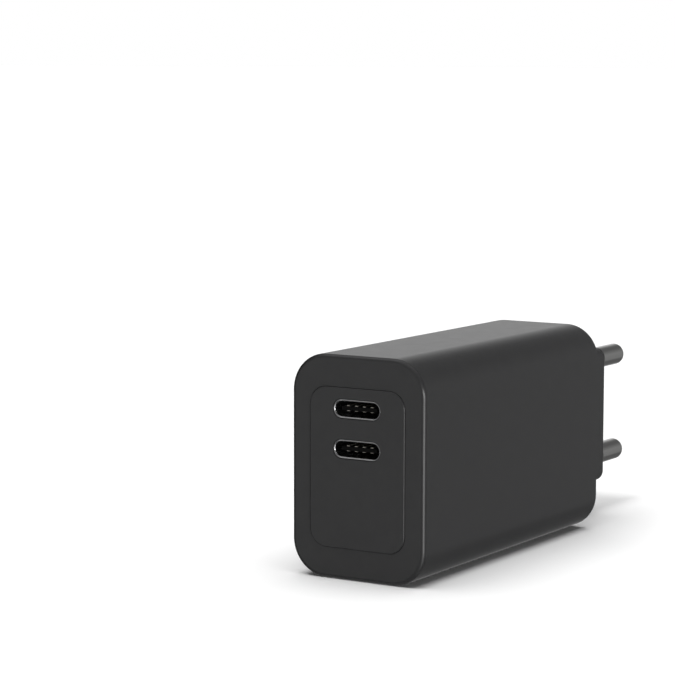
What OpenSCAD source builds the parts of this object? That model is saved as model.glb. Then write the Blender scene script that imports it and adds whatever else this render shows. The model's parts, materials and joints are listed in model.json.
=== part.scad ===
// Wall charger with two reversible sockets and a fixed two-pin plug.
// It lies on its narrow side: X is its thickness, Y runs from the sockets to the pin tips, Z is its
// width. The origin is under the middle of the whole object, on the surface it rests on.

/* [Body] */
// Thickness of the body
body_t = 25.2; // [25:0.5:34]
// Width of the body, which is its height as it lies
body_w = 37; // [36:0.5:48]
// Length of the body without the plug neck
body_l = 62.6; // [61:0.2:80]
// Radius of the four long edges
corner_r = 6.2; // [5:0.2:8.4]
// Radius of the rim round the socket end
rim_r = 0.8; // [0.3:0.1:1.4]
// Thickness of the side walls
wall = 1.8; // [1.5:0.1:2.2]
// Thickness of the wall at the socket end
end_wall = 2.2; // [1.8:0.1:2.8]

/* [Socket panel] */
// Size of the panel across the thickness
panel_t = 17.9; // [14:0.1:20]
// Size of the panel across the width
panel_w = 26.5; // [20:0.5:30]
// Corner radius of the panel
panel_r = 3; // [1:0.2:5]
// How far the panel stands out of the body
panel_proud = 0.25; // [0.1:0.05:0.5]
// Depth of the pocket that the panel is bonded into
panel_pocket = 1.2; // [0.6:0.1:1.3]
// Rounding of the panel's front edge
panel_edge = 0.2; // [0.1:0.05:0.3]

/* [Sockets] */
// Width of a socket's mouth
port_w = 8.34; // [8.3:0.02:8.6]
// Height of a socket's mouth
port_h = 2.56; // [2.5:0.02:2.7]
// Thickness of a socket's metal shell
shell_t = 0.25; // [0.2:0.05:0.35]
// Length of a socket's metal shell
shell_l = 8.4; // [7:0.2:10]
// Distance between the two sockets
port_pitch = 6.6; // [5:0.1:9]
// Height of the pair of sockets above the middle of the body
port_rise = 6.5; // [4:0.1:8]
// Width of the tongue inside a socket
tongue_w = 6.7; // [6:0.1:6.9]
// Thickness of the tongue
tongue_h = 0.7; // [0.6:0.05:0.8]

/* [Plug] */
// Size of the plug neck across the thickness
neck_t = 13.4; // [12:0.2:15]
// Distance from a pin's middle to the narrow face of the neck
neck_end = 3.2; // [3.1:0.1:4]
// Length of the plug neck
neck_l = 15.2; // [15:0.2:20]
// Corner radius of the plug neck
neck_r = 2; // [1:0.2:3]
// Rounding of the neck's outer edge
neck_edge = 0.4; // [0.2:0.1:0.8]
// Wall of the neck round its hollow
neck_wall = 1.2; // [1:0.05:1.25]
// Thickness of the wall that holds the pins
pin_wall = 5; // [4:0.5:7]
// Distance between the pins
pin_pitch = 18.6; // [17.6:0.1:19.2]
// Diameter of a pin
pin_d = 4; // [3.9:0.05:4.8]
// Length of a pin outside the plug
pin_l = 19; // [18:0.5:22]
// Radius of the rounding at a pin's tip
tip_r = 1.3; // [0.8:0.1:1.8]
// Diameter of the pin's core under its sleeve
core_d = 3; // [2.4:0.1:3.4]
// Length of a pin that its sleeve covers
sleeve_l = 9.65; // [9:0.05:10.5]
// Diameter of the sleeve
sleeve_d = 3.6; // [3.5:0.05:3.65]
// Diameter of the sleeve's collar
collar_d = 4.45; // [4.2:0.05:4.8]
// Length of the collar outside the plug
collar_l = 3.75; // [2:0.25:5]

/* [Boards] */
// Thickness of the circuit boards
board_t = 1.2; // [0.8:0.1:1.6]
// Width of the main board
main_w = 29; // [26:0.5:29.5]
// Space between the main board and the wall behind it
solder_gap = 1.6; // [1.5:0.1:2.4]
// Thickness of the insulating films
film_t = 0.3; // [0.2:0.05:0.4]
// Thickness of the heat spreader
spreader_t = 0.8; // [0.5:0.1:1]

/* [Large components] */
// Diameter of each of the three bulk capacitors
bulk_d = 8; // [6.3:0.1:8]
// Length of a bulk capacitor
bulk_l = 15; // [12:0.5:16]
// Side of the transformer across the board
core_side = 17; // [14:0.5:17.5]
// Height of the transformer
core_h = 16; // [13:0.5:16.5]
// Diameter of the output capacitors
out_cap_d = 6.3; // [5:0.1:6.5]

/* [Fits] */
// Gap round a piece that is pushed into place
slip = 0.05; // [0.02:0.01:0.1]
// Gap round a socket where it comes through the wall
port_gap = 0.1; // [0.05:0.05:0.2]

/* [Hidden] */

// Places along the length
total_l = panel_proud + body_l + neck_l + pin_l;
y_tip = total_l / 2;
y_face = y_tip - pin_l;
y_back = y_face - neck_l;
y_front = y_back - body_l;
y_panel = y_front - panel_proud;
z_mid = body_w / 2;

// The hollow inside the housing
hollow_t = body_t - 2 * wall;
hollow_w = body_w - 2 * wall;
hollow_r = corner_r - wall;
y_inside = y_front + end_wall;

// The plate that closes the housing, and the lip behind it
plate_t = 2.2;
lip_l = 1.5;
lip_t = 1.2;

// The hollow of the neck, the clamp inside it and the hidden part of each pin
neck_w = pin_pitch + 2 * neck_end;
neck_hollow_t = neck_t - 2 * neck_wall;
neck_hollow_w = neck_w - 2 * neck_wall;
neck_hollow_r = max(neck_r - neck_wall, 0.4);
y_pin_wall = y_face - pin_wall;
pin_heights = [z_mid + pin_pitch / 2, z_mid - pin_pitch / 2];
flange_d = core_d + 0.5;
flange_t = 1.2;
clamp_t = 1.5;
root_d = core_d - 0.6;
root_l = 1.6;
contact_t = 0.6;
contact_w = flange_d;
recess_d = collar_d + 0.95;
recess_l = 0.4;

// Sockets and the board that carries them
mouth_inset = 0.1;
y_mouth = y_panel + mouth_inset;
y_socket_board = y_mouth + shell_l;
y_main_0 = y_socket_board + board_t;
shell_w = port_w + 2 * shell_t;
shell_h = port_h + 2 * shell_t;
z_ports = z_mid + port_rise;
z_upper = z_ports + port_pitch / 2;
z_lower = z_ports - port_pitch / 2;
tongue_base = 2.4;
tongue_inset = 0.75;
contact_inset = 0.3;
contact_pitch = 1.5;
contact_count = 4;
pad_w = 0.5;
pad_l = 3.4;
pad_t = 0.14;
board_clear = 1.3;
socket_board_t = hollow_t - 2 * board_clear;
socket_board_w = 17;
socket_board_r = 1;

// Main board, and the input board at its mains end
x_main_0 = -hollow_t / 2 + solder_gap;
x_main = x_main_0 + board_t;
input_gap = 2.2;
input_margin = 1.4;
y_input = y_back - plate_t - input_gap;
y_main_1 = y_input - board_t;
rail_t = 1.1;
rail_slip = 0.1;
rail_bite = 0.6;
rail_short = 3;

// Header between the main board and the socket board
header_pins = 5;
header_pitch = 1.8;
header_side = 2.5;
header_pin = 0.6;
header_tail = 0.6;
header_slip = 0.1;

// Heat spreader and films
x_film = hollow_t / 2 - film_t;
x_spreader = x_film - spreader_t;
spreader_w = 2 * (hollow_w / 2 - hollow_r);
spreader_short = 3;
pad_margin = 1;

// Transformer
y_core = y_main_0 + 19.5;
core_foot = 1.2;
foot_l = 3;
plate_h = 3.4;
leg_d = 6;
post_t = 1.5;
tube_t = 0.8;
flange_h = 0.7;
bobbin_d = core_side - 3.8;
winding_d = core_side - 5.6;
tape_t = 0.6;
z_window = core_foot + plate_h;
window_h = core_h - core_foot - 2 * plate_h;

// Choke
choke_d = 10.6;
choke_hole = 4.6;
choke_h = 5;
wire_t = 0.7;
wire_gap = 0.08;
y_choke = y_main_1 - 8;
z_choke = z_mid - 5.2;

// Bulk capacitors, in a row under the heat spreader
bulk_gap = 0.7;
bulk_pitch = bulk_d + bulk_gap;
x_bulk = x_spreader - bulk_gap - bulk_d / 2;
z_bulk = z_mid - 2.6;

// Round components, as diameter and height or thickness
fuse = [4, 7.5];
varistor = [7.4, 2.2];
thermistor = [6.4, 2.2];
y_cap = [7.6, 2.8];
out_cap_h = 8;

// Square components, as size across the board, along it and away from it
x_cap = [5.6, 13, 8.2];
bridge = [8.4, 1.8, 8];
optocoupler = [4, 4.8, 2.2];
inductor = [7, 7, 3.8];
switch = [8, 8, 0.9];
rectifier = [5, 6, 0.9];
controller = [5, 5, 0.85];
chip = [0.8, 1.6, 0.5];
chip_pitch = 4;
chip_rows = [-10, -7, 7, 10];

// How far a cutting shape runs past what it cuts
over = 1;

// ---------- shared shapes ----------

// Rectangle with round corners, centred
module round_rect(w, h, r) {
    square([w - 2 * r, h], center = true);
    square([w, h - 2 * r], center = true);
    for (x = [-1, 1], y = [-1, 1])
        translate([x * (w / 2 - r), y * (h / 2 - r)]) circle(r, $fn = 48);
}

// Slot with round ends, centred
module slot(w, h) {
    square([w - h, h], center = true);
    for (x = [-1, 1]) translate([x * (w - h) / 2, 0]) circle(h / 2, $fn = 48);
}

// Runs a flat outline from y0 to y1, its own y axis pointing up
module along_y(y0, y1, z = z_mid) {
    translate([0, y1, z]) rotate([90, 0, 0]) linear_extrude(y1 - y0) children();
}

// Cylinder or cone along Y
module rod(d, y0, y1, x = 0, z = z_mid) {
    translate([x, y1, z]) rotate([90, 0, 0]) cylinder(d = d, h = y1 - y0, $fn = 48);
}

// Prism with round corners whose edge at y0 is rounded too
module soft_prism(w, h, r, y0, y1, edge) {
    hull() {
        for (a = [0 : 22.5 : 90]) {
            in = edge * (1 - cos(a));
            along_y(y0 + edge * (1 - sin(a)), y1)
                corner_circles(w - 2 * in, h - 2 * in, r - in);
        }
    }
}

// The four corners of a round-cornered rectangle, for a hull to join
module corner_circles(w, h, r) {
    for (x = [-1, 1], y = [-1, 1])
        translate([x * (w / 2 - r), y * (h / 2 - r)]) circle(r, $fn = 40);
}

// Box by its two corners
module block(low, high) {
    translate(low) cube(high - low);
}

// Stands its children on the component side of the main board, with +Z as height
module on_main(y, z) {
    translate([x_main, y, z_mid + z]) rotate([0, 90, 0]) children();
}

// Puts its children on the solder side of the main board, with +Z away from the board
module under_main(y, z) {
    translate([x_main_0, y, z_mid + z]) rotate([0, -90, 0]) children();
}

// Box that stands centred on its foot
module standing_box(size) {
    translate([-size.x / 2, -size.y / 2, 0]) cube(size);
}

// Disc that stands on its rim
module standing_disc(size) {
    translate([0, 0, size.x / 2]) rotate([0, 90, 0])
        cylinder(d = size.x, h = size.y, center = true, $fn = 48);
}

// Upright ring
module ring(d_in, d_out, h) {
    difference() {
        cylinder(d = d_out, h = h, $fn = 64);
        translate([0, 0, -over]) cylinder(d = d_in, h = h + 2 * over, $fn = 64);
    }
}

// ---------- casing ----------

module housing() {
    color([0.2, 0.2, 0.205])
    union() {
        difference() {
            soft_prism(body_t, body_w, corner_r, y_front, y_back, rim_r);
            along_y(y_inside, y_back + over) round_rect(hollow_t, hollow_w, hollow_r);
            along_y(y_front - over, y_front + panel_pocket)
                round_rect(panel_t + 2 * slip, panel_w + 2 * slip, panel_r + slip);
            port_slots(y_front, y_inside + over);
        }
        intersection() {
            along_y(y_main_0 + rail_short, y_main_1 - rail_short)
                round_rect(body_t - wall, body_w - wall, corner_r - wall / 2);
            board_rails();
        }
    }
}

// Ribs that hold both edges of the main board, cut to the walls by their caller
module board_rails() {
    z_edge = main_w / 2 - rail_bite;
    for (x = [x_main_0 - rail_slip - rail_t, x_main + rail_slip], side = [0, 1])
        translate([0, 0, z_mid]) mirror([0, 0, side])
            translate([x, y_main_0, z_edge])
                cube([rail_t, y_main_1 - y_main_0, body_w / 2 - z_edge]);
}

module port_slots(y0, y1) {
    for (z = [z_upper, z_lower])
        along_y(y0, y1, z) slot(shell_w + 2 * port_gap, shell_h + 2 * port_gap);
}

module socket_panel() {
    y1 = y_front + panel_pocket;
    color([0.19, 0.19, 0.195])
    difference() {
        soft_prism(panel_t, panel_w, panel_r, y_panel, y1, panel_edge);
        port_slots(y_panel - over, y1 + over);
    }
}

// Closing plate with a lip inside the housing, and the hollow neck that carries the pins
module plug_base() {
    y0 = y_back - plate_t;
    color([0.2, 0.2, 0.205])
    difference() {
        union() {
            along_y(y0, y_back)
                round_rect(hollow_t - 2 * slip, hollow_w - 2 * slip, hollow_r - slip);
            along_y(y0 - lip_l, y0) difference() {
                round_rect(hollow_t - 2 * slip, hollow_w - 2 * slip, hollow_r - slip);
                round_rect(hollow_t - 2 * lip_t, hollow_w - 2 * lip_t, hollow_r - lip_t);
            }
            mirror([0, 1, 0])
                soft_prism(neck_t, neck_w, neck_r, -y_face, -y_back + plate_t / 2, neck_edge);
        }
        along_y(y0 - over, y_pin_wall)
            round_rect(neck_hollow_t, neck_hollow_w, neck_hollow_r);
        for (z = pin_heights) {
            rod(core_d, y_pin_wall - over, y_face + over, 0, z);
            rod(recess_d, y_face - recess_l, y_face + over, 0, z);
        }
    }
}

// Plate that presses the flanges of both pins against the pin wall
module pin_clamp() {
    y1 = y_pin_wall - flange_t;
    color([0.82, 0.8, 0.74])
    difference() {
        along_y(y1 - clamp_t, y1)
            round_rect(neck_hollow_t - 2 * slip, neck_hollow_w - 2 * slip, neck_hollow_r);
        for (z = pin_heights) rod(root_d, y1 - clamp_t - over, y1 + over, 0, z);
    }
}

// ---------- pins ----------

module pin(z) {
    y_flange = y_pin_wall - flange_t;
    color([0.8, 0.8, 0.79])
    union() {
        translate([0, y_face, z]) rotate([-90, 0, 0]) rotate_extrude($fn = 64) pin_outline();
        rod(core_d, y_flange, y_face + sleeve_l, 0, z);
        rod(flange_d, y_flange, y_pin_wall, 0, z);
        rod(root_d, y_flange - clamp_t - root_l, y_flange, 0, z);
    }
}

// Half outline of a pin's bare length with its rounded tip
module pin_outline() {
    y_round = pin_l - tip_r;
    x_round = pin_d / 2 - tip_r;
    translate([0, sleeve_l]) square([pin_d / 2, y_round - sleeve_l]);
    translate([0, y_round]) square([x_round, tip_r]);
    translate([x_round, y_round]) intersection() {
        circle(tip_r, $fn = 48);
        square(tip_r);
    }
}

module line_pin() pin(pin_heights[0]);
module neutral_pin() pin(pin_heights[1]);

module sleeve(z) {
    y0 = y_face - recess_l;
    color([0.09, 0.09, 0.09])
    difference() {
        union() {
            rod(collar_d, y0, y_face + collar_l, 0, z);
            rod(sleeve_d, y_face + collar_l, y_face + sleeve_l, 0, z);
        }
        rod(core_d, y0 - over, y_face + sleeve_l + over, 0, z);
    }
}

module line_pin_sleeve() sleeve(pin_heights[0]);
module neutral_pin_sleeve() sleeve(pin_heights[1]);

// Strip from a pin's root to the input board
module contact(z) {
    y1 = y_pin_wall - flange_t - clamp_t;
    half = contact_w / 2;
    color([0.85, 0.68, 0.35])
    difference() {
        union() {
            block([-half, y1 - contact_t, z - half], [half, y1, z + half]);
            block([half - contact_t, y_input, z - half], [half, y1, z + half]);
            block([half - contact_t, y_input, z - half],
                  [contact_w, y_input + contact_t, z + half]);
        }
        rod(root_d, y1 - contact_t - over, y1 + over, 0, z);
    }
}

module line_contact() contact(pin_heights[0]);
module neutral_contact() contact(pin_heights[1]);

// ---------- sockets ----------

module usb_c_shell(z) {
    color([0.75, 0.75, 0.76])
    along_y(y_mouth, y_socket_board, z) difference() {
        slot(shell_w, shell_h);
        slot(port_w, port_h);
    }
}

module usb_c_tongue(z) {
    y_base = y_socket_board - tongue_base;
    color([0.05, 0.05, 0.05])
    union() {
        along_y(y_base, y_socket_board, z) slot(port_w, port_h);
        along_y(y_mouth + tongue_inset, y_base, z) square([tongue_w, tongue_h], center = true);
    }
}

// Contact strips on both faces of the tongue
module usb_c_contacts(z) {
    y0 = y_mouth + tongue_inset + contact_inset;
    color([0.9, 0.75, 0.4])
    for (i = [0 : contact_count - 1], side = [-1, 1]) {
        x = (i - (contact_count - 1) / 2) * contact_pitch;
        z0 = z + side * (tongue_h + pad_t) / 2;
        block([x - pad_w / 2, y0, z0 - pad_t / 2], [x + pad_w / 2, y0 + pad_l, z0 + pad_t / 2]);
    }
}

module usb_c_shell_upper() usb_c_shell(z_upper);
module usb_c_shell_lower() usb_c_shell(z_lower);
module usb_c_tongue_upper() usb_c_tongue(z_upper);
module usb_c_tongue_lower() usb_c_tongue(z_lower);
module usb_c_contacts_upper() usb_c_contacts(z_upper);
module usb_c_contacts_lower() usb_c_contacts(z_lower);

// ---------- boards ----------

module main_board() {
    color([0.1, 0.35, 0.2])
    block([x_main_0, y_main_0, z_mid - main_w / 2], [x_main, y_main_1, z_mid + main_w / 2]);
}

module socket_board() {
    color([0.1, 0.35, 0.2])
    difference() {
        along_y(y_socket_board, y_main_0, z_ports)
            round_rect(socket_board_t, socket_board_w, socket_board_r);
        header_rods(header_pin + 2 * header_slip, y_socket_board - over, y_main_0 + over);
    }
}

function header_z(i) = z_ports + (i - (header_pins - 1) / 2) * header_pitch;

module header_rods(d, y0, y1) {
    for (i = [0 : header_pins - 1]) rod(d, y0, y1, x_main + header_side / 2, header_z(i));
}

module board_header() {
    color([0.12, 0.12, 0.12])
    union() {
        block([x_main, y_main_0, header_z(0) - header_side / 2],
              [x_main + header_side, y_main_0 + header_side,
               header_z(header_pins - 1) + header_side / 2]);
        header_rods(header_pin, y_socket_board - header_tail, y_main_0 + header_side / 2);
    }
}

module input_board() {
    color([0.1, 0.35, 0.2])
    along_y(y_main_1, y_input)
        round_rect(hollow_t - 2 * input_margin, hollow_w - 2 * input_margin,
                   hollow_r - input_margin);
}

// ---------- mains side ----------

module fuse() {
    color([0.75, 0.72, 0.62])
    on_main(y_main_1 - 4, 10.2) cylinder(d = fuse.x, h = fuse.y, $fn = 32);
}

module surge_varistor() {
    color([0.12, 0.3, 0.6])
    on_main(y_main_1 - 5.2, -12.7) standing_disc(varistor);
}

module inrush_thermistor() {
    color([0.15, 0.35, 0.2])
    on_main(y_main_1 - 11.6, 12.6) standing_disc(thermistor);
}

module x_capacitor() {
    color([0.8, 0.7, 0.2])
    on_main(y_main_1 - 7.5, 4.3) standing_box(x_cap);
}

module choke_core() {
    color([0.2, 0.35, 0.25])
    at_choke() ring(choke_hole, choke_d, choke_h);
}

// Turns of thick wire round both halves of the ring, each turn a square loop
module choke_windings() {
    color([0.75, 0.4, 0.2])
    at_choke() for (side = [0, 180], a = [-45 : 30 : 45]) rotate(a + side) wire_loop();
}

module at_choke() {
    translate([x_main + wire_t, y_choke, z_choke]) rotate([0, 90, 0]) children();
}

module wire_loop() {
    in = choke_hole / 2;
    out = choke_d / 2;
    rotate([90, 0, 0]) linear_extrude(wire_t, center = true) difference() {
        translate([in - wire_t, -wire_t]) square([out - in + 2 * wire_t, choke_h + 2 * wire_t]);
        translate([in - wire_gap, 0]) square([out - in + wire_gap, choke_h]);
    }
}

module bridge_rectifier() {
    color([0.08, 0.08, 0.08])
    on_main(y_main_1 - 15.9, 8.6) standing_box(bridge);
}

module bulk_capacitor(i) {
    color([0.13, 0.13, 0.16])
    rod(bulk_d, y_main_1 - bulk_l, y_main_1, x_bulk, z_bulk + i * bulk_pitch);
}

module bulk_capacitor_1() bulk_capacitor(-1);
module bulk_capacitor_2() bulk_capacitor(0);
module bulk_capacitor_3() bulk_capacitor(1);

// ---------- transformer and power stage ----------

// Two plates, a round centre leg and two side posts
module transformer_core() {
    color([0.16, 0.16, 0.17])
    on_main(y_core, 0) {
        for (z = [core_foot, core_h - plate_h])
            translate([0, 0, z]) standing_box([core_side, core_side, plate_h]);
        translate([0, 0, core_foot]) cylinder(d = leg_d, h = core_h - core_foot, $fn = 48);
        for (side = [-1, 1])
            translate([side * (core_side - post_t) / 2, 0, core_foot])
                standing_box([post_t, core_side, core_h - core_foot]);
    }
}

// Tube and two flanges round the centre leg, and the feet under the core
module transformer_bobbin() {
    color([0.15, 0.12, 0.1])
    on_main(y_core, 0) {
        translate([0, 0, z_window]) ring(leg_d, leg_d + 2 * tube_t, window_h);
        for (z = [z_window, z_window + window_h - flange_h])
            translate([0, 0, z]) ring(leg_d, bobbin_d, flange_h);
        for (side = [-1, 1])
            translate([0, side * (core_side - foot_l) / 2, 0])
                standing_box([bobbin_d, foot_l, core_foot]);
    }
}

module transformer_winding() {
    winding_ring(leg_d + 2 * tube_t, winding_d, [0.75, 0.42, 0.2]);
}

module transformer_tape() {
    winding_ring(winding_d, winding_d + 2 * tape_t, [0.85, 0.75, 0.25]);
}

module winding_ring(d_in, d_out, tint) {
    color(tint)
    on_main(y_core, 0) translate([0, 0, z_window + flange_h])
        ring(d_in, d_out, window_h - 2 * flange_h);
}

module power_switch() {
    color([0.07, 0.07, 0.07])
    under_main(y_core + 2, 0) standing_box(switch);
}

module output_rectifier() {
    color([0.07, 0.07, 0.07])
    under_main(y_main_0 + 6, 0) standing_box(rectifier);
}

module feedback_optocoupler() {
    color([0.9, 0.9, 0.88])
    on_main(y_core + 4.2, 11.3) standing_box(optocoupler);
}

module y_capacitor() {
    color([0.2, 0.4, 0.75])
    on_main(y_core, -11.3) standing_disc(y_cap);
}

// ---------- output side ----------

// Sits on the inner face of the socket board
module charge_controller() {
    color([0.07, 0.07, 0.07])
    translate([4, y_main_0, z_ports]) rotate([-90, 0, 0]) standing_box(controller);
}

module output_capacitor(z) {
    color([0.78, 0.78, 0.8])
    on_main(y_main_0 + 6.2, z) cylinder(d = out_cap_d, h = out_cap_h, $fn = 48);
}

module output_capacitor_1() output_capacitor(-10);
module output_capacitor_2() output_capacitor(-3);

module output_inductor() {
    color([0.25, 0.25, 0.27])
    on_main(y_main_0 + 6.8, 8.6) standing_box(inductor);
}

// Resistors and capacitors in rows on the solder side
module small_chips() {
    first = y_main_0 + 5;
    count = floor((y_main_1 - first - 5) / chip_pitch);
    color([0.55, 0.45, 0.35])
    for (z = chip_rows, i = [0 : count - 1])
        under_main(first + i * chip_pitch, z) standing_box(chip);
}

// ---------- heat and insulation ----------

module sheet(x, t, y0, y1, w, tint) {
    color(tint)
    block([x, y0, z_mid - w / 2], [x + t, y1, z_mid + w / 2]);
}

module heat_spreader() {
    sheet(x_spreader, spreader_t, y_main_0 + spreader_short, y_main_1 - spreader_short,
          spreader_w - 1, [0.75, 0.76, 0.78]);
}

module thermal_pad() {
    half = core_side / 2 - pad_margin;
    x0 = x_main + core_h;
    sheet(x0, x_spreader - x0, y_core - half, y_core + half, 2 * half, [0.6, 0.65, 0.7]);
}

module spreader_film() {
    sheet(x_film, film_t, y_main_0 + 2, y_main_1 - 2, spreader_w, [0.8, 0.65, 0.2]);
}

module solder_side_film() {
    sheet(-hollow_t / 2, film_t, y_main_0 + 1, y_main_1 - 1, spreader_w, [0.8, 0.65, 0.2]);
}

housing();
socket_panel();
plug_base();
pin_clamp();
line_pin();
neutral_pin();
line_pin_sleeve();
neutral_pin_sleeve();
line_contact();
neutral_contact();
usb_c_shell_upper();
usb_c_shell_lower();
usb_c_tongue_upper();
usb_c_tongue_lower();
usb_c_contacts_upper();
usb_c_contacts_lower();
main_board();
socket_board();
input_board();
board_header();
fuse();
surge_varistor();
inrush_thermistor();
x_capacitor();
choke_core();
choke_windings();
bridge_rectifier();
bulk_capacitor_1();
bulk_capacitor_2();
bulk_capacitor_3();
transformer_core();
transformer_bobbin();
transformer_winding();
transformer_tape();
power_switch();
output_rectifier();
feedback_optocoupler();
y_capacitor();
charge_controller();
output_capacitor_1();
output_capacitor_2();
output_inductor();
small_chips();
heat_spreader();
thermal_pad();
spreader_film();
solder_side_film();
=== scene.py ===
# %% [markdown]
# # A two-socket wall charger
# The charger lies on its narrow side, with its two sockets towards the viewer and its two pins at
# the back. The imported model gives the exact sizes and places. Here the outer pieces are modelled
# again with soft edges, and the hidden pieces inside get their finishes.

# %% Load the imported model
import bpy
import bmesh
import json
import math
from mathutils import Matrix, Vector
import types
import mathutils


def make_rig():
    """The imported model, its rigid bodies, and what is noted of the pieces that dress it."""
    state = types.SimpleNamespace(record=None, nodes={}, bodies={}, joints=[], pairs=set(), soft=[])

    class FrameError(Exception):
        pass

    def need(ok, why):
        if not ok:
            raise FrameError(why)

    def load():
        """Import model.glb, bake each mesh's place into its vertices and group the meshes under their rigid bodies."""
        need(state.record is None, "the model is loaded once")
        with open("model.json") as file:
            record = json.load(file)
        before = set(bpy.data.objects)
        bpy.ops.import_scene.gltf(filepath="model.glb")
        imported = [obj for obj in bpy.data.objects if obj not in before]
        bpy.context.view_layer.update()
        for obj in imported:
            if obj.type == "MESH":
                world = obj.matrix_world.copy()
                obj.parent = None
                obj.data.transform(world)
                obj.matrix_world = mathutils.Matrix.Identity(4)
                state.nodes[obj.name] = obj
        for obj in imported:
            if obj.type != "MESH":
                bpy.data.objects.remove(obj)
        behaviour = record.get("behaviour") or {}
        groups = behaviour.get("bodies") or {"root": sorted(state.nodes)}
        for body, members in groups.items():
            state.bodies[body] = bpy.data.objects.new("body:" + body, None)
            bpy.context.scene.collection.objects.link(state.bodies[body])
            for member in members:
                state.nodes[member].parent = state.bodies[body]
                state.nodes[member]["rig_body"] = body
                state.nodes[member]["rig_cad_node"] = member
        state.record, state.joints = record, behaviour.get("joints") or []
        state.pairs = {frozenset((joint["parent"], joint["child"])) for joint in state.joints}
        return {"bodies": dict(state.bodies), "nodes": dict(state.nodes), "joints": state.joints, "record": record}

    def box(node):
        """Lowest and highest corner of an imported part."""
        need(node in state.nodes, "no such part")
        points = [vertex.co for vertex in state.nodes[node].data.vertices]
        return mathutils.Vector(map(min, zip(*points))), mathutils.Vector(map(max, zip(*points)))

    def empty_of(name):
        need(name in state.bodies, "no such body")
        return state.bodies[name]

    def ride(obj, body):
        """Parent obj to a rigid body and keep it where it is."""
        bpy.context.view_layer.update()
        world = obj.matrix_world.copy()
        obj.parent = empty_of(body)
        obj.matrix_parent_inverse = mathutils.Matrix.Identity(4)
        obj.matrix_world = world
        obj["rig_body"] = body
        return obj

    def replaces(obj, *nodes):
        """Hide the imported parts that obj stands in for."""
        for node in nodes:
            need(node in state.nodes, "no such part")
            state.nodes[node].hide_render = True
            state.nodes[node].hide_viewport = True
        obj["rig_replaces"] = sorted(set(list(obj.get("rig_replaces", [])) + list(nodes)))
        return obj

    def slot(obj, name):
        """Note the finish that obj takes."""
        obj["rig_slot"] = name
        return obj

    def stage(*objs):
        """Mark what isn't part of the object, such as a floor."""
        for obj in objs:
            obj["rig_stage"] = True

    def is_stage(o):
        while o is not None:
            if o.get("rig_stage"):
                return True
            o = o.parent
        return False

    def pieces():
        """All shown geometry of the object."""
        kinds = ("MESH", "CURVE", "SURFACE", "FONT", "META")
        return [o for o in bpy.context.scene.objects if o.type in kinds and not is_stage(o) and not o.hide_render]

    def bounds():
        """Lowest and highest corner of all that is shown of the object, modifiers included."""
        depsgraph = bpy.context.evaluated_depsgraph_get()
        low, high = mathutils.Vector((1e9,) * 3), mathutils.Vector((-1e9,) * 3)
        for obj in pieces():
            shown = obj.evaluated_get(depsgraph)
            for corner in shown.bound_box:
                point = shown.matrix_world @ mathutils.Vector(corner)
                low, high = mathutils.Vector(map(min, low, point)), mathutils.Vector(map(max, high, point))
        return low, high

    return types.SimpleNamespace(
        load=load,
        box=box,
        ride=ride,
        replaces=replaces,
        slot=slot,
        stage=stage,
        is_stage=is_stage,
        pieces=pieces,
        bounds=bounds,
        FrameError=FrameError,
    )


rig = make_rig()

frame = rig.load()
cad_box = [list(corner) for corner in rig.bounds()]
MM = 0.001
print("nodes:", len(frame["nodes"]), "box in mm:", [[round(v / MM, 2) for v in c] for c in cad_box])

# %% [markdown]
# ## Small helpers for editing
# An operator acts on whatever is selected, so each step starts from nothing selected and then picks
# edges or faces by where they lie. Working this way, a piece is shaped as it would be by hand.

# %% Pick things and add blocks
NEAR = 0.002 * MM


def only(piece):
    bpy.ops.object.select_all(action="DESELECT")
    piece.select_set(True)
    bpy.context.view_layer.objects.active = piece


def pick(piece, kind, test):
    """Opens a piece for editing with only the edges or faces that pass the test selected."""
    only(piece)
    bpy.ops.object.mode_set(mode="EDIT")
    bpy.ops.mesh.select_mode(type=kind)
    bpy.ops.mesh.select_all(action="DESELECT")
    mesh = bmesh.from_edit_mesh(piece.data)
    for item in mesh.edges if kind == "EDGE" else mesh.faces:
        item.select_set(bool(test(item)))
    mesh.select_flush_mode()
    bmesh.update_edit_mesh(piece.data)


def close():
    bpy.ops.object.mode_set(mode="OBJECT")


def block(name, low, high):
    """A cube primitive stretched between two corners, with its place in its mesh."""
    low, high = Vector(low), Vector(high)
    bpy.ops.object.select_all(action="DESELECT")
    bpy.ops.mesh.primitive_cube_add(size=1, location=(low + high) / 2)
    piece = bpy.context.object
    piece.name = piece.data.name = name
    piece.scale = high - low
    bpy.ops.object.transform_apply(location=True, rotation=True, scale=True)
    return piece


def runs_along_y(edge):
    a, b = (v.co for v in edge.verts)
    return abs(a.x - b.x) < NEAR and abs(a.z - b.z) < NEAR


def lies_at_y(y):
    """A test for edges and faces that lie flat at one place along the charger."""
    return lambda item: all(abs(v.co.y - y) < NEAR for v in item.verts)


def round_off(piece, test, radius, steps):
    pick(piece, "EDGE", test)
    bpy.ops.mesh.bevel(offset=radius, segments=steps, profile=0.5, affect="EDGES",
                       clamp_overlap=False)
    close()


def round_block(name, low, high, radius, steps=16):
    """A block whose four edges along Y are rounded."""
    piece = block(name, low, high)
    round_off(piece, runs_along_y, radius, steps)
    return piece


print("smallest step that counts as the same place, in mm:", NEAR / MM)


# %% Cut, join and finish
def cut(piece, cutter):
    """Takes the cutter's shape out of the piece, then throws the cutter away."""
    only(piece)
    hole = piece.modifiers.new("hole", "BOOLEAN")
    hole.operation, hole.solver, hole.object = "DIFFERENCE", "EXACT", cutter
    bpy.ops.object.modifier_apply(modifier=hole.name)
    bpy.data.objects.remove(cutter)


def join(pieces):
    bpy.ops.object.select_all(action="DESELECT")
    for piece in pieces:
        piece.select_set(True)
    bpy.context.view_layer.objects.active = pieces[0]
    bpy.ops.object.join()
    return bpy.context.object


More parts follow.
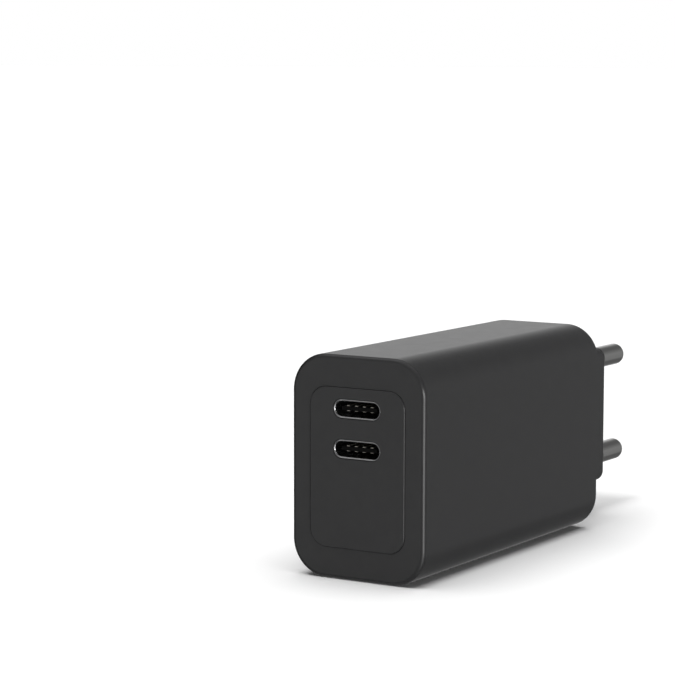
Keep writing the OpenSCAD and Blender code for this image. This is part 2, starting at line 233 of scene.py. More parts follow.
def copy_of(piece, name, shift):
    only(piece)
    bpy.ops.object.duplicate()
    twin = bpy.context.object
    twin.name = twin.data.name = name
    bpy.ops.transform.translate(value=shift)
    bpy.ops.object.transform_apply(location=True, rotation=True, scale=True)
    return twin


def done(piece, node, slot, material):
    """Smooths a piece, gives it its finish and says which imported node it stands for."""
    only(piece)
    bpy.ops.object.shade_smooth_by_angle(angle=math.radians(32))
    flat = piece.modifiers.new("flat_faces", "WEIGHTED_NORMAL")
    flat.keep_sharp = True
    bpy.ops.object.modifier_apply(modifier=flat.name)
    piece.data.materials.clear()
    piece.data.materials.append(material)
    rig.replaces(piece, node)
    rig.slot(piece, slot)
    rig.ride(piece, "root")
    low = Vector([min(v.co[i] for v in piece.data.vertices) for i in range(3)])
    high = Vector([max(v.co[i] for v in piece.data.vertices) for i in range(3)])
    print(f"{piece.name}: {len(piece.data.polygons)} faces, size in mm",
          [round(v / MM, 2) for v in high - low])


print("helpers ready:", [f.__name__ for f in (cut, join, copy_of, done)])

# %% [markdown]
# ## The camera
# It stands in front of the sockets and to the right, a little above the charger, with a long lens
# so that the sides stay nearly parallel. Its place was worked out in millimetres from the middle of
# the socket end, so that end is measured first.

# %% Place the camera
shell_low, shell_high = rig.box("housing")
socket_end = Vector((0, shell_low.y, (shell_low.z + shell_high.z) / 2))
camera_data = bpy.data.cameras.new("camera")
camera = bpy.data.objects.new("camera", camera_data)
bpy.context.scene.collection.objects.link(camera)
ahead = Vector((-0.524602, 0.843913, -0.112267)).normalized()
upward = Vector((-0.060497, 0.094583, 0.993677)).normalized()
sideways = ahead.cross(upward).normalized()
upward = sideways.cross(ahead)
camera.location = socket_end + Vector((205.537, -336.753, 66.129)) * MM
camera.rotation_mode = "QUATERNION"
camera.rotation_quaternion = Matrix((sideways, upward, -ahead)).transposed().to_quaternion()
camera_data.sensor_width = 36
camera_data.lens = 36 * 2464.97 / 675
camera_data.clip_start = 0.01
camera_data.clip_end = 60
bpy.context.scene.camera = camera
print("lens in mm:", round(camera_data.lens, 1), "camera at:", [round(v, 3) for v in camera.location])

# %% [markdown]
# ## Floor and light
# A dark satin shell shows its shape by what it mirrors. The floor is pale and matt, and one very
# wide sun stands for a lit ceiling. Neither shows in the shell's gloss, which mirrors only the room
# made in the next step, so the light that falls on the charger and what it mirrors are set apart.

# %% Floor and ceiling light
def floor_finish():
    paint = bpy.data.materials.new("pale_floor")
    paint.use_nodes = True
    nodes, links = paint.node_tree.nodes, paint.node_tree.links
    shader = nodes["Principled BSDF"]
    place = nodes.new("ShaderNodeTexCoord")
    grain = nodes.new("ShaderNodeTexNoise")
    grain.inputs["Scale"].default_value = 14
    tone = nodes.new("ShaderNodeValToRGB")
    tone.color_ramp.elements[0].color = (0.9, 0.9, 0.9, 1)
    tone.color_ramp.elements[1].color = (0.93, 0.93, 0.93, 1)
    links.new(place.outputs["Object"], grain.inputs["Vector"])
    links.new(grain.outputs["Fac"], tone.inputs["Fac"])
    links.new(tone.outputs["Color"], shader.inputs["Base Color"])
    shader.inputs["Roughness"].default_value = 0.9
    shader.inputs["Specular IOR Level"].default_value = 0.1
    return paint


bpy.ops.object.select_all(action="DESELECT")
bpy.ops.mesh.primitive_plane_add(size=40, location=(0, 0, 0))
floor = bpy.context.object
floor.name = "floor"
floor.data.materials.append(floor_finish())
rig.stage(floor)


CEILING_SPREAD = 70
sun_data = bpy.data.lights.new("ceiling", "SUN")
sun_data.energy, sun_data.angle = 3.2, math.radians(CEILING_SPREAD)
ceiling = bpy.data.objects.new("ceiling", sun_data)
ceiling.visible_glossy = False
bpy.context.scene.collection.objects.link(ceiling)
floor.visible_glossy = False
floor.visible_shadow = False
print("ceiling light:", sun_data.energy, "spread in degrees:", CEILING_SPREAD)

# %% [markdown]
# ## The room around
# What the shell mirrors is a plain room: white behind, dim to the right and overhead, dark on the
# far left and dim behind the viewer. An upright soft light in front and to the right draws the line
# down the rim of the socket end. All this could be built from white and black cards and a lamp, but
# a few ramps over the direction give the same soft room with nothing to hide from view.

# %% Room
world = bpy.data.worlds.new("studio")
bpy.context.scene.world = world
world.use_nodes = True
sky, sky_links = world.node_tree.nodes, world.node_tree.links
sky.clear()
around = sky.new("ShaderNodeTexCoord")
part = sky.new("ShaderNodeSeparateXYZ")
sky_links.new(around.outputs["Generated"], part.inputs["Vector"])


def ramp_over(axis, stops):
    """Brightness along one direction of the room, from -1 to 1."""
    place = sky.new("ShaderNodeMapRange")
    place.inputs["From Min"].default_value, place.inputs["From Max"].default_value = -1, 1
    sky_links.new(part.outputs[axis], place.inputs["Value"])
    ramp = sky.new("ShaderNodeValToRGB")
    ramp.color_ramp.interpolation = "EASE"
    while len(ramp.color_ramp.elements) < len(stops):
        ramp.color_ramp.elements.new(0.5)
    for element, (where, value) in zip(ramp.color_ramp.elements, stops):
        element.position = (where + 1) / 2
        element.color = (value, value, value, 1)
    sky_links.new(place.outputs["Result"], ramp.inputs["Fac"])
    return ramp.outputs["Color"]


def times(first, second):
    product = sky.new("ShaderNodeMath")
    product.operation = "MULTIPLY"
    sky_links.new(first, product.inputs[0])
    sky_links.new(second, product.inputs[1])
    return product.outputs["Value"]


SOFTBOX = 7.8
left_right = ramp_over("X", ((-0.9, 0.0), (-0.74, 0.06), (-0.55, 0.68), (-0.42, 0.68),
                             (-0.05, 0.3), (0.4, 0.23), (0.9, 0.2)))
front_back = ramp_over("Y", ((-0.6, 0.62), (-0.2, 1.0), (0.3, 1.0)))
low_high = ramp_over("Z", ((-0.6, 0.3), (-0.4, 0.4), (-0.25, 0.9), (0.14, 1.0),
                           (0.28, 0.75), (0.45, 0.36), (0.72, 0.3), (0.85, 1.2)))
across = ramp_over("X", ((0.5, 0.0), (0.7, 1.0)))
along = ramp_over("Y", ((-0.84, 0.0), (-0.72, 1.0), (-0.32, 1.0), (-0.15, 0.0)))
upright = ramp_over("Z", ((-0.4, 0.2), (-0.14, 0.5), (-0.03, 0.62),
                          (0.06, 1.0), (0.11, 1.0), (0.22, 0.0)))
room = sky.new("ShaderNodeBackground")
room.inputs["Color"].default_value = (1, 1, 1, 1)
both = sky.new("ShaderNodeMath")
both.operation = "MULTIPLY_ADD"
sky_links.new(times(times(across, along), upright), both.inputs[0])
both.inputs[1].default_value = SOFTBOX
sky_links.new(times(times(left_right, front_back), low_high), both.inputs[2])
sky_links.new(both.outputs["Value"], room.inputs["Strength"])
white = sky.new("ShaderNodeBackground")
white.inputs["Color"].default_value = (1, 1, 1, 1)
white.inputs["Strength"].default_value = 1.0
seen = sky.new("ShaderNodeLightPath")
choose = sky.new("ShaderNodeMixShader")
sky_links.new(seen.outputs["Is Camera Ray"], choose.inputs["Fac"])
sky_links.new(room.outputs["Background"], choose.inputs[1])
sky_links.new(white.outputs["Background"], choose.inputs[2])
ground = sky.new("ShaderNodeOutputWorld")
sky_links.new(choose.outputs["Shader"], ground.inputs["Surface"])
bpy.context.scene.view_settings.view_transform = "Standard"
print("lights:", [o.name for o in bpy.context.scene.objects if o.type == "LIGHT"])

# %% [markdown]
# ## Finishes
# Every finish starts from one recipe: a base colour that drifts a little, a gloss that drifts a
# little, and a fine bump. The bump decides whether a surface reads as moulded, cast or rolled. All
# patterns follow the object's own coordinates, so they stay put in every view.

# %% The shared recipe
def finish(name, colour, gloss, drift=0.06, grain=900, bump=0.008, metal=0.0, coat=0.0, level=0.5):
    """A moulded or coated finish. Grain is in waves per metre, bump in millimetres."""
    paint = bpy.data.materials.new(name)
    paint.use_nodes = True
    nodes, links = paint.node_tree.nodes, paint.node_tree.links
    shader = nodes["Principled BSDF"]
    place = nodes.new("ShaderNodeTexCoord")
    cloud = nodes.new("ShaderNodeTexNoise")
    cloud.inputs["Scale"].default_value = grain / 8
    cloud.inputs["Detail"].default_value = 4
    links.new(place.outputs["Object"], cloud.inputs["Vector"])
    tone = nodes.new("ShaderNodeValToRGB")
    tone.color_ramp.elements[0].position = 0.3
    tone.color_ramp.elements[1].position = 0.7
    tone.color_ramp.elements[0].color = [c * (1 - drift) for c in colour] + [1]
    tone.color_ramp.elements[1].color = [min(c * (1 + drift), 1) for c in colour] + [1]
    links.new(cloud.outputs["Fac"], tone.inputs["Fac"])
    links.new(tone.outputs["Color"], shader.inputs["Base Color"])
    sheen = nodes.new("ShaderNodeMapRange")
    sheen.inputs["To Min"].default_value = gloss * 0.92
    sheen.inputs["To Max"].default_value = gloss * 1.08
    links.new(cloud.outputs["Fac"], sheen.inputs["Value"])
    links.new(sheen.outputs["Result"], shader.inputs["Roughness"])
    fine = nodes.new("ShaderNodeTexNoise")
    fine.inputs["Scale"].default_value = grain
    fine.inputs["Detail"].default_value = 3
    links.new(place.outputs["Object"], fine.inputs["Vector"])
    relief = nodes.new("ShaderNodeBump")
    relief.inputs["Strength"].default_value = 0.35
    relief.inputs["Distance"].default_value = bump * MM
    links.new(fine.outputs["Fac"], relief.inputs["Height"])
    links.new(relief.outputs["Normal"], shader.inputs["Normal"])
    shader.inputs["Metallic"].default_value = metal
    shader.inputs["Coat Weight"].default_value = coat
    shader.inputs["Coat Roughness"].default_value = 0.08
    shader.inputs["Specular IOR Level"].default_value = level
    return paint


WAVE_SCALE = 0.31416


def lines(paint, colour_a, colour_b, pitch, along, width=0.5, bump=0.0, wave="BANDS"):
    """Adds even stripes to a finish, such as wire turns, tape edges or rolling marks."""
    nodes, links = paint.node_tree.nodes, paint.node_tree.links
    shader = nodes["Principled BSDF"]
    place = nodes["Texture Coordinate"]
    stripes = nodes.new("ShaderNodeTexWave")
    stripes.wave_type = wave
    stripes.bands_direction = along
    stripes.inputs["Scale"].default_value = WAVE_SCALE / (pitch * MM)
    stripes.inputs["Distortion"].default_value = 0.15
    links.new(place.outputs["Object"], stripes.inputs["Vector"])
    split = nodes.new("ShaderNodeValToRGB")
    split.color_ramp.elements[0].position = width - 0.12
    split.color_ramp.elements[1].position = width + 0.12
    split.color_ramp.elements[0].color = (*colour_a, 1)
    split.color_ramp.elements[1].color = (*colour_b, 1)
    links.new(stripes.outputs["Fac"], split.inputs["Fac"])
    links.new(split.outputs["Color"], shader.inputs["Base Color"])
    if bump:
        relief = nodes.new("ShaderNodeBump")
        relief.inputs["Strength"].default_value = 0.8
        relief.inputs["Distance"].default_value = bump * MM
        links.new(stripes.outputs["Fac"], relief.inputs["Height"])
        links.new(nodes["Bump"].outputs["Normal"], relief.inputs["Normal"])
        links.new(relief.outputs["Normal"], shader.inputs["Normal"])
    return paint


print("recipes ready:", [f.__name__ for f in (finish, lines)])

# %% [markdown]
# ## The casing finish
# The shell is moulded in charcoal plastic with a fine satin surface: smooth to the touch, with a
# soft broad mirror at low angles. The socket panel is the same plastic from another mould, a shade
# darker. The sleeves on the pins are glossier and nearly black.

# %% Finishes of the outer pieces
casing_plastic = finish("casing_plastic", (0.0235, 0.0235, 0.024), 0.26, drift=0.04,
                        grain=3200, bump=0.001)
panel_plastic = finish("panel_plastic", (0.0232, 0.0232, 0.0237), 0.25, drift=0.04,
                       grain=3200, bump=0.001)
sleeve_plastic = finish("sleeve_plastic", (0.012, 0.012, 0.012), 0.28, grain=2600, bump=0.002)
tongue_plastic = finish("tongue_plastic", (0.003, 0.003, 0.003), 0.5, grain=3000, bump=0.001,
                        level=0.1)
pin_metal = lines(finish("pin_metal", (0.72, 0.72, 0.71), 0.17, drift=0.02, grain=2200,
                         bump=0.001, metal=1.0),
                  (0.7, 0.7, 0.69), (0.74, 0.74, 0.73), 0.12, "Y", bump=0.0006)
socket_metal = finish("socket_metal", (0.78, 0.78, 0.79), 0.2, drift=0.03, grain=2600,
                      bump=0.0012, metal=1.0)
contact_gold = finish("contact_gold", (0.96, 0.92, 0.82), 0.3, drift=0.04, grain=3000,
                      bump=0.001, metal=1.0)
print("outer finishes:", [m.name for m in (casing_plastic, panel_plastic, sleeve_plastic,
                                           tongue_plastic, pin_metal, socket_metal, contact_gold)])

# %% [markdown]
# ## The shell
# On the real charger this is one deep moulded cup, open at the plug end, with a shallow pocket for
# the socket panel. It could be a scaled cube with a bevel on every edge, but its long edges are
# round and its front rim is nearly sharp, so the two are rounded in turn. The cup's hollow is an
# inset of the open end pushed inwards, which keeps the wall even round the corners.

# %% Shell
LONG_EDGE, RIM, WALL, FRONT_WALL = 6.2 * MM, 0.8 * MM, 1.8 * MM, 2.2 * MM
POCKET_DEPTH, FIT, SKIN = 1.2 * MM, 0.05 * MM, 0.012 * MM
CORNER_STEPS = 20
grow = Vector((SKIN, 0, 0))
shell = round_block("casing_shell", shell_low + grow, shell_high - grow, LONG_EDGE, CORNER_STEPS)
round_off(shell, lies_at_y(shell_low.y), RIM, 8)
pick(shell, "FACE", lies_at_y(shell_high.y))
bpy.ops.mesh.inset(thickness=WALL)
hollow_depth = shell_low.y + FRONT_WALL - shell_high.y
bpy.ops.mesh.extrude_region_move(TRANSFORM_OT_translate={"value": (0, hollow_depth, 0)})
close()
round_off(shell, lambda e: lies_at_y(shell_high.y)(e) and len(e.link_faces) == 2
          and abs(e.link_faces[0].normal.y - e.link_faces[1].normal.y) > 0.5, 0.12 * MM, 3)

panel_low, panel_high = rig.box("socket_panel")
side = Vector((1, 0, 1)) * FIT
pocket = round_block("pocket", panel_low - side, panel_high + side, 3 * MM + FIT, CORNER_STEPS)
pick(pocket, "FACE", lambda f: True)
bpy.ops.transform.translate(value=(0, shell_low.y + POCKET_DEPTH - panel_high.y, 0))
close()
cut(shell, pocket)
print("shell after the pocket:", len(shell.data.polygons), "faces")


# %% [markdown]
# ## The slots for the sockets
# Each socket comes through the panel in a slot with round ends. A block whose corner radius is half
# its height is such a slot, so the same helper makes the cutter, the sockets' metal shells and the
# plastic base of each tongue.

# %% Slots
MOUTH_GAP = 0.1 * MM


def slot_block(name, low, high, steps=12):
    return round_block(name, low, high, (high.z - low.z) / 2 - 0.004 * MM, steps)


def socket_slot(node):
    """A cutter round one socket, as long as the shell's front wall and the panel."""
    low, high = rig.box(node)
    gap = Vector((MOUTH_GAP, 0, MOUTH_GAP))
    low, high = low - gap, high + gap
    low.y, high.y = panel_low.y - 1 * MM, shell_low.y + FRONT_WALL + 1 * MM
    return slot_block("slot_cutter", low, high)


for node in ("usb_c_shell_upper", "usb_c_shell_lower"):
    cut(shell, socket_slot(node))
done(shell, "housing", "casing_plastic", casing_plastic)

# %% [markdown]
# ## The socket panel
# The panel is a separate plate bonded into the pocket. It stands a quarter of a millimetre proud,
# and its front edge is just broken, which gives the thin dark line on one side and the bright line
# on the other. A printed line would not catch the light, so the plate and its gap are real.

# %% Panel
PANEL_EDGE = 0.2 * MM
panel = round_block("socket_panel_plate", panel_low, panel_high, 3 * MM, CORNER_STEPS)
round_off(panel, lies_at_y(panel_low.y), PANEL_EDGE, 5)
for node in ("usb_c_shell_upper", "usb_c_shell_lower"):
    cut(panel, socket_slot(node))
done(panel, "socket_panel", "panel_plastic", panel_plastic)

# %% [markdown]
# ## The sockets
# A socket is a seamless steel tube, flat with round ends, with a black plastic tongue in the middle
# that carries the contacts. The tube is a solid slot whose two ends are inset by the metal's
# thickness and bridged, so the hole and the wall come from one step. The mouth flares a little on
# the inside to lead the plug in, and that flare is what catches the light.

# %% Socket tubes
TUBE, LEAD_IN = 0.25 * MM, 0.17 * MM


def socket_tube(node, name):
    low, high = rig.box(node)
    tube = slot_block(name, low, high)
    pick(tube, "FACE", lambda f: lies_at_y(low.y)(f) or lies_at_y(high.y)(f))
    bpy.ops.mesh.inset(thickness=TUBE)
    bpy.ops.mesh.bridge_edge_loops()
    close()
    middle_z, straight = (low.z + high.z) / 2, high.x - (high.z - low.z) / 2

    def faces_axis(face):
        at = face.calc_center_median()
        spine = max(-straight, min(straight, at.x))
        outwards = face.normal.x * (at.x - spine) + face.normal.z * (at.z - middle_z)
        return abs(face.normal.y) < 0.5 and outwards < 0

    def inner_rim(edge):
        return lies_at_y(low.y)(edge) and any(faces_axis(f) for f in edge.link_faces)

    def outer_rim(edge):
        return lies_at_y(low.y)(edge) and any(
            abs(f.normal.y) < 0.5 and not faces_axis(f) for f in edge.link_faces)

    round_off(tube, inner_rim, LEAD_IN, 4)
    round_off(tube, outer_rim, 0.05 * MM, 2)
    return tube


for place in ("upper", "lower"):
    tube = socket_tube(f"usb_c_shell_{place}", f"socket_tube_{place}")
    done(tube, f"usb_c_shell_{place}", "socket_metal", socket_metal)

# %% [markdown]
# ## Tongues and contacts
# The tongue stands in the middle of the tube on a base that closes it. Its front edge is chamfered
# so that a plug slides on. The contacts lie on both its faces and their front ends are rounded,
# which is why they show as small bright points deep in the socket.

# %% Tongues
BLADE_HALF_WIDTH, BLADE_HALF_HEIGHT = 3.35 * MM, 0.35 * MM


def tongue(place):
    low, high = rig.box(f"usb_c_tongue_{place}")
    base_low = Vector((low.x, high.y - 2.4 * MM, low.z))
    base = slot_block(f"socket_tongue_{place}", base_low, high)
    mid_z = (low.z + high.z) / 2
    blade = block("blade", (-BLADE_HALF_WIDTH, low.y, mid_z - BLADE_HALF_HEIGHT),
                  (BLADE_HALF_WIDTH, base_low.y + 0.2 * MM, mid_z + BLADE_HALF_HEIGHT))
    round_off(blade, runs_along_y, 0.2 * MM, 4)
    round_off(blade, lies_at_y(low.y), 0.14 * MM, 2)
    return join([base, blade])


for place in ("upper", "lower"):
    done(tongue(place), f"usb_c_tongue_{place}", "tongue_plastic", tongue_plastic)


# %% Contacts
CONTACT_PITCH, CONTACT_COUNT, CONTACT_WIDTH = 1.5 * MM, 4, 0.5 * MM


def contacts(place):
    """Four strips on each face of a tongue, modelled once and copied."""
    low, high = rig.box(f"usb_c_contacts_{place}")
    thick = (high.z - low.z - 2 * BLADE_HALF_HEIGHT) / 2
    x = -CONTACT_PITCH * (CONTACT_COUNT - 1) / 2
    first = block(f"socket_contacts_{place}", (x - CONTACT_WIDTH / 2, low.y, high.z - thick),
                  (x + CONTACT_WIDTH / 2, high.y, high.z))
    round_off(first, lambda e: lies_at_y(low.y)(e) and all(v.co.z > high.z - NEAR for v in e.verts),
              thick * 0.6, 3)
    strips = [first] + [copy_of(first, f"strip_{i}", (CONTACT_PITCH * i, 0, 0))
                        for i in range(1, CONTACT_COUNT)]
    under = [copy_of(s, f"under_{i}", (0, 0, 0)) for i, s in enumerate(strips)]
    for strip in under:
        only(strip)
        bpy.ops.transform.mirror(constraint_axis=(False, False, True),
                                 center_override=(0, 0, (low.z + high.z) / 2))
        bpy.ops.object.transform_apply(location=True, rotation=True, scale=True)
        pick(strip, "FACE", lambda f: True)
        bpy.ops.mesh.normals_make_consistent(inside=False)
        close()
    return join(strips + under)


for place in ("upper", "lower"):
    done(contacts(place), f"usb_c_contacts_{place}", "contact_gold", contact_gold)

# %% [markdown]
# ## The plug neck
# The neck is the narrow block that reaches into a wall socket. It is moulded with the plate that
# closes the shell, so both are one piece. The neck's long edges are rounded more than its end, and a
# shallow ring is sunk round each pin. The plate and the neck are joined here the way a modeller would
# block them out, and the rings are cut with the same cylinder.

# %% Neck and closing plate
base_low, base_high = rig.box("plug_base")
seam = shell_high.y
neck_half = Vector((6.7 * MM, 0, 12.5 * MM))
centre = Vector((0, 0, (base_low.z + base_high.z) / 2))
plate = round_block("plug_neck", base_low, Vector((base_high.x, seam, base_high.z)), 4.35 * MM,
                    CORNER_STEPS)
round_off(plate, lies_at_y(seam), 0.12 * MM, 3)
neck = round_block("neck", centre - neck_half + Vector((0, seam - 1 * MM, 0)),
                   centre + neck_half + Vector((0, base_high.y, 0)), 2 * MM, 12)
round_off(neck, lies_at_y(base_high.y), 0.4 * MM, 6)


def drill(radius, low_y, high_y, z, steps=64):
    """A round cutter along Y."""
    bpy.ops.object.select_all(action="DESELECT")
    bpy.ops.mesh.primitive_cylinder_add(vertices=steps, radius=radius, depth=high_y - low_y,
                                        location=(0, (low_y + high_y) / 2, z),
                                        rotation=(math.pi / 2, 0, 0))
    tool = bpy.context.object
    bpy.ops.object.transform_apply(location=True, rotation=True, scale=True)
    return tool


only(plate)
weld = plate.modifiers.new("weld", "BOOLEAN")
weld.operation, weld.solver, weld.object = "UNION", "EXACT", neck
bpy.ops.object.modifier_apply(modifier=weld.name)
bpy.data.objects.remove(neck)
hollow_wall = Vector((1.2 * MM, 0, 1.2 * MM))
cut(plate, round_block("hollow", centre - neck_half + hollow_wall + Vector((0, base_low.y - 1 * MM, 0)),
                       centre + neck_half - hollow_wall + Vector((0, base_high.y - 5 * MM, 0)), 0.8 * MM, 6))
pin_places = {n: (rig.box(n)[0].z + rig.box(n)[1].z) / 2 for n in ("line_pin", "neutral_pin")}
for z in pin_places.values():
    cut(plate, drill(1.5 * MM, base_low.y - 1 * MM, base_high.y + 1 * MM, z))
    cut(plate, drill(2.7 * MM, base_high.y - 0.4 * MM, base_high.y + 1 * MM, z, 96))
done(plate, "plug_base", "casing_plastic", casing_plastic)

# %% [markdown]
# ## Pins and sleeves
# Each pin is turned from round bar and plated. Only its outer half is bare, and the inner half is
# thinner under a moulded sleeve. A cylinder gives the bare part, the tip's edge is rounded in steps,
# and the core is an inset of the back face pushed backwards, as if turned down on a lathe.

# %% Pins
TIP, CORE = 1.3 * MM, 1.5 * MM
SLEEVE_LENGTH, COLLAR_LENGTH = 9.65 * MM, 3.75 * MM


def turned_pin(node, name):
    low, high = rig.box(node)
    z = pin_places[node]
    shoulder = base_high.y + SLEEVE_LENGTH
    pin = drill(2 * MM, shoulder, high.y, z, 64)
    pin.name = pin.data.name = name
    round_off(pin, lies_at_y(high.y), TIP, 10)
    pick(pin, "FACE", lies_at_y(shoulder))
    bpy.ops.mesh.inset(thickness=2 * MM - CORE)
    bpy.ops.mesh.extrude_region_move(TRANSFORM_OT_translate={"value": (0, low.y - shoulder, 0)})
    close()
    round_off(pin, lambda e: lies_at_y(shoulder)(e) and any(abs(f.normal.y) < 0.5 and max(
        abs(v.co.x) for v in f.verts) > CORE + 0.1 * MM for f in e.link_faces), 0.08 * MM, 2)
    return pin


for node, name in (("line_pin", "plated_pin_upper"), ("neutral_pin", "plated_pin_lower")):
    done(turned_pin(node, name), node, "pin_metal", pin_metal)


# %% Sleeves
def moulded_sleeve(node, name, z):
    """A collar that steps down to a thin tube round the core."""
    low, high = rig.box(node)
    step = base_high.y + COLLAR_LENGTH
    sleeve = drill(high.x, low.y, step, z, 64)
    sleeve.name = sleeve.data.name = name
    pick(sleeve, "FACE", lies_at_y(step))
    bpy.ops.mesh.inset(thickness=high.x - 1.8 * MM)
    bpy.ops.mesh.extrude_region_move(TRANSFORM_OT_translate={"value": (0, high.y - step, 0)})
    close()
    round_off(sleeve, lambda e: lies_at_y(step)(e) and any(
        f.calc_center_median().y < step - NEAR for f in e.link_faces), 0.25 * MM, 4)
    cut(sleeve, drill(CORE, low.y - 1 * MM, high.y + 1 * MM, z))
    return sleeve


for pin, name in (("line_pin", "pin_sleeve_upper"), ("neutral_pin", "pin_sleeve_lower")):
    sleeve = moulded_sleeve(pin + "_sleeve", name, pin_places[pin])
    done(sleeve, pin + "_sleeve", "sleeve_plastic", sleeve_plastic)

# %% [markdown]
# ## Finishes of the inner pieces
# With the shell off, the boards and their parts show. Their shapes stay as packed, and each gets the
# finish it has in a real charger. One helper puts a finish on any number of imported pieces, so that
# parts of one kind share it.

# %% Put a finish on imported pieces
def dress(material, *names):
    for name in names:
        node = frame["nodes"][name]
        if not node.material_slots:
            node.data.materials.append(None)
        for place in node.material_slots:
            place.material = material
    print(material.name, "on", ", ".join(names))


# %% [markdown]
# ## Circuit boards
# A board is glass cloth in resin under a green mask, and its copper tracks show as slightly paler
# bands. A brick pattern, turned to lie in the plane of the board, gives straight tracks of uneven
# length. Painted tracks would need a drawing, and nobody follows the net in a closed charger.

# %% Boards
def tracks(paint, turn, mask, copper):
    """Pale copper tracks under the mask of a board that lies in the turned plane."""
    nodes, links = paint.node_tree.nodes, paint.node_tree.links
    shader = nodes["Principled BSDF"]
    lay = nodes.new("ShaderNodeMapping")
    lay.inputs["Rotation"].default_value = turn
    links.new(nodes["Texture Coordinate"].outputs["Object"], lay.inputs["Vector"])
    brick = nodes.new("ShaderNodeTexBrick")
    brick.inputs["Scale"].default_value = 160
    brick.inputs["Mortar Size"].default_value = 0.025
    brick.inputs["Brick Width"].default_value = 2.2
    brick.inputs["Row Height"].default_value = 0.13
    brick.inputs["Color1"].default_value = (*mask, 1)
    brick.inputs["Color2"].default_value = (*[c * 0.86 for c in mask], 1)
    brick.inputs["Mortar"].default_value = (*copper, 1)
    links.new(lay.outputs["Vector"], brick.inputs["Vector"])
    links.new(brick.outputs["Color"], shader.inputs["Base Color"])
    return paint


MASK, COPPER_UNDER = (0.03, 0.14, 0.07), (0.045, 0.185, 0.085)
QUARTER = math.pi / 2
main_laminate = tracks(finish("board_laminate", MASK, 0.3, grain=1800, bump=0.004),
                       (0, QUARTER, 0), MASK, COPPER_UNDER)
cross_laminate = tracks(finish("board_laminate_cross", MASK, 0.3, grain=1800, bump=0.004),
                        (QUARTER, 0, 0), MASK, COPPER_UNDER)
header_plastic = finish("header_plastic", (0.02, 0.02, 0.02), 0.45, grain=2200, bump=0.006)
dress(main_laminate, "main_board")
dress(cross_laminate, "socket_board", "input_board")
dress(header_plastic, "board_header")

# %% [markdown]
# ## Mains side
# The clamp is natural nylon, which is cream and a little waxy. The spring contacts are stamped from
# rolled brass, so fine marks run along them. The dipped parts are thick glossy epoxy with a slightly
# lumpy skin, and the box of the film capacitor is moulded yellow.

# %% Mains side
clamp_plastic = finish("clamp_plastic", (0.6, 0.57, 0.48), 0.48, grain=1200, bump=0.01)
contact_brass = lines(finish("contact_brass", (0.8, 0.62, 0.3), 0.3, grain=1600, bump=0.002, metal=1.0),
                      (0.74, 0.56, 0.26), (0.82, 0.64, 0.32), 0.16, "Y", bump=0.001)
fuse_body = finish("fuse_body", (0.62, 0.58, 0.48), 0.22, grain=700, bump=0.004, coat=0.4)
varistor_coating = finish("varistor_coating", (0.03, 0.1, 0.35), 0.24, drift=0.12, grain=500,
                          bump=0.04, coat=0.3)
thermistor_coating = finish("thermistor_coating", (0.03, 0.12, 0.05), 0.3, drift=0.12, grain=500,
                            bump=0.04, coat=0.2)
film_capacitor_case = finish("film_capacitor_case", (0.65, 0.5, 0.08), 0.42, grain=1500, bump=0.008)
y_capacitor_coating = finish("y_capacitor_coating", (0.05, 0.18, 0.5), 0.24, drift=0.12, grain=500,
                             bump=0.04, coat=0.3)
dress(clamp_plastic, "pin_clamp")
dress(contact_brass, "line_contact", "neutral_contact")
dress(fuse_body, "fuse")
dress(varistor_coating, "surge_varistor")
dress(thermistor_coating, "inrush_thermistor")
dress(film_capacitor_case, "x_capacitor")
dress(y_capacitor_coating, "y_capacitor")

# %% [markdown]
# ## Choke and transformer
# Ferrite is a pressed and fired powder, dark grey with a fine gritty skin. Around it lie the turns of
# enamelled copper, the brown bobbin and a few layers of yellow tape. The turns are stripes with a
# matching relief, because modelling each turn of a hidden winding would add faces nobody sees. The
# darker copper colour lies in the low parts of that relief, as painted shade in the grooves between turns.

# %% Magnetics
ferrite = finish("ferrite", (0.03, 0.03, 0.033), 0.55, drift=0.18, grain=2400, bump=0.02)
# The darker of the two copper colours falls in the low parts of the stripes' relief: painted shade in the grooves
# between the turns.
copper_wire = lines(finish("copper_wire", (0.7, 0.3, 0.12), 0.28, grain=1500, bump=0.002, metal=1.0, coat=0.5),
                    (0.45, 0.17, 0.06), (0.74, 0.33, 0.13), 0.5, "X", width=0.35, bump=0.12)
bobbin_plastic = finish("bobbin_plastic", (0.05, 0.035, 0.025), 0.4, grain=1200, bump=0.008)
winding_tape = lines(finish("winding_tape", (0.7, 0.55, 0.08), 0.3, drift=0.08, grain=600, bump=0.01),
                     (0.58, 0.43, 0.05), (0.72, 0.57, 0.09), 3.0, "X", width=0.2, bump=0.03)
dress(ferrite, "choke_core", "transformer_core", "output_inductor")
dress(copper_wire, "choke_windings", "transformer_winding")
dress(bobbin_plastic, "transformer_bobbin")
dress(winding_tape, "transformer_tape")

# %% [markdown]
# ## Capacitors and chips
# The three large capacitors wear a dark shrunk sleeve, and the two small ones are bare drawn cans
# with faint marks along the draw. Chips are matt moulded epoxy, a little rough from the mould, and
# the small parts on the solder side are fired ceramic with a fine speckle.

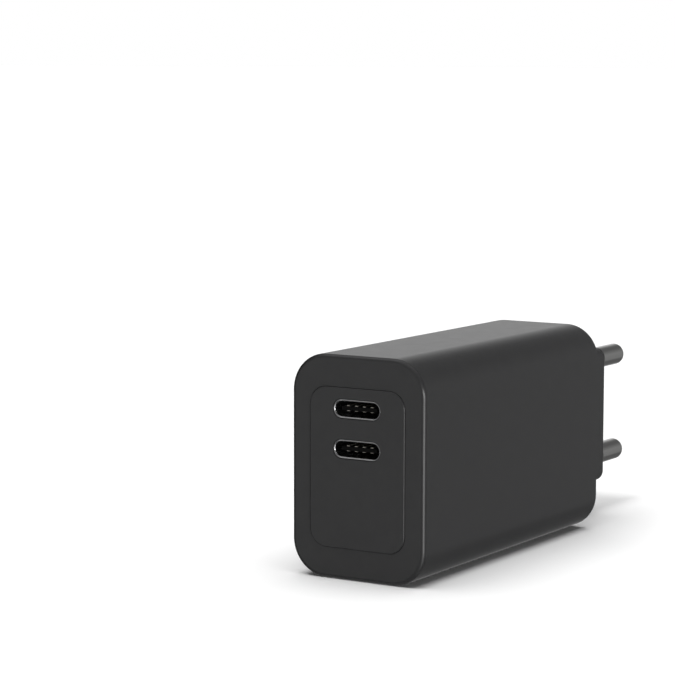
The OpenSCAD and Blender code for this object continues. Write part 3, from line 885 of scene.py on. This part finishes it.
# %% Capacitors and chips
capacitor_sleeve = finish("capacitor_sleeve", (0.02, 0.02, 0.035), 0.28, drift=0.15, grain=700,
                          bump=0.015, coat=0.25)
capacitor_can = lines(finish("capacitor_can", (0.7, 0.7, 0.71), 0.26, grain=1800, bump=0.002, metal=1.0),
                      (0.66, 0.66, 0.67), (0.73, 0.73, 0.74), 0.2, "Z", bump=0.001)
chip_plastic = finish("chip_plastic", (0.015, 0.015, 0.015), 0.5, drift=0.1, grain=2600, bump=0.012)
optocoupler_plastic = finish("optocoupler_plastic", (0.75, 0.75, 0.72), 0.45, grain=2200, bump=0.008)
chip_ceramic = finish("chip_ceramic", (0.35, 0.25, 0.16), 0.5, drift=0.25, grain=4200, bump=0.01)
dress(capacitor_sleeve, "bulk_capacitor_1", "bulk_capacitor_2", "bulk_capacitor_3")
dress(capacitor_can, "output_capacitor_1", "output_capacitor_2")
dress(chip_plastic, "bridge_rectifier", "power_switch", "output_rectifier", "charge_controller")
dress(optocoupler_plastic, "feedback_optocoupler")
dress(chip_ceramic, "small_chips")

# %% [markdown]
# ## Heat spreader, pad and films
# A rolled aluminium sheet carries the heat to the side of the shell, with a soft silicone pad under
# it. Amber film keeps the live side of the board away from the shell. The sheet has long rolling
# marks, the pad is matt and a bit uneven, and the film is smooth and glossy.

# %% Spreader and films
spreader_metal = lines(finish("spreader_metal", (0.68, 0.69, 0.7), 0.34, grain=1400, bump=0.003, metal=1.0),
                       (0.64, 0.65, 0.66), (0.7, 0.71, 0.72), 0.3, "Z", bump=0.002)
pad_silicone = finish("pad_silicone", (0.35, 0.4, 0.45), 0.75, drift=0.1, grain=600, bump=0.03)
insulating_film = finish("insulating_film", (0.6, 0.4, 0.08), 0.16, drift=0.06, grain=250, bump=0.012, coat=0.4)
dress(spreader_metal, "heat_spreader")
dress(pad_silicone, "thermal_pad")
dress(insulating_film, "spreader_film", "solder_side_film")
bare = [n for n, o in frame["nodes"].items() if not o.hide_render
        and not all(m and m.use_nodes and len(m.node_tree.nodes) > 4 for m in o.data.materials)]
print("packed pieces still without a finish:", bare)

# %% Sizes and end
json.dump({"cad": cad_box, "visual": [list(c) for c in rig.bounds()]}, open("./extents.json", "w"))
print("sizes:", open("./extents.json").read())
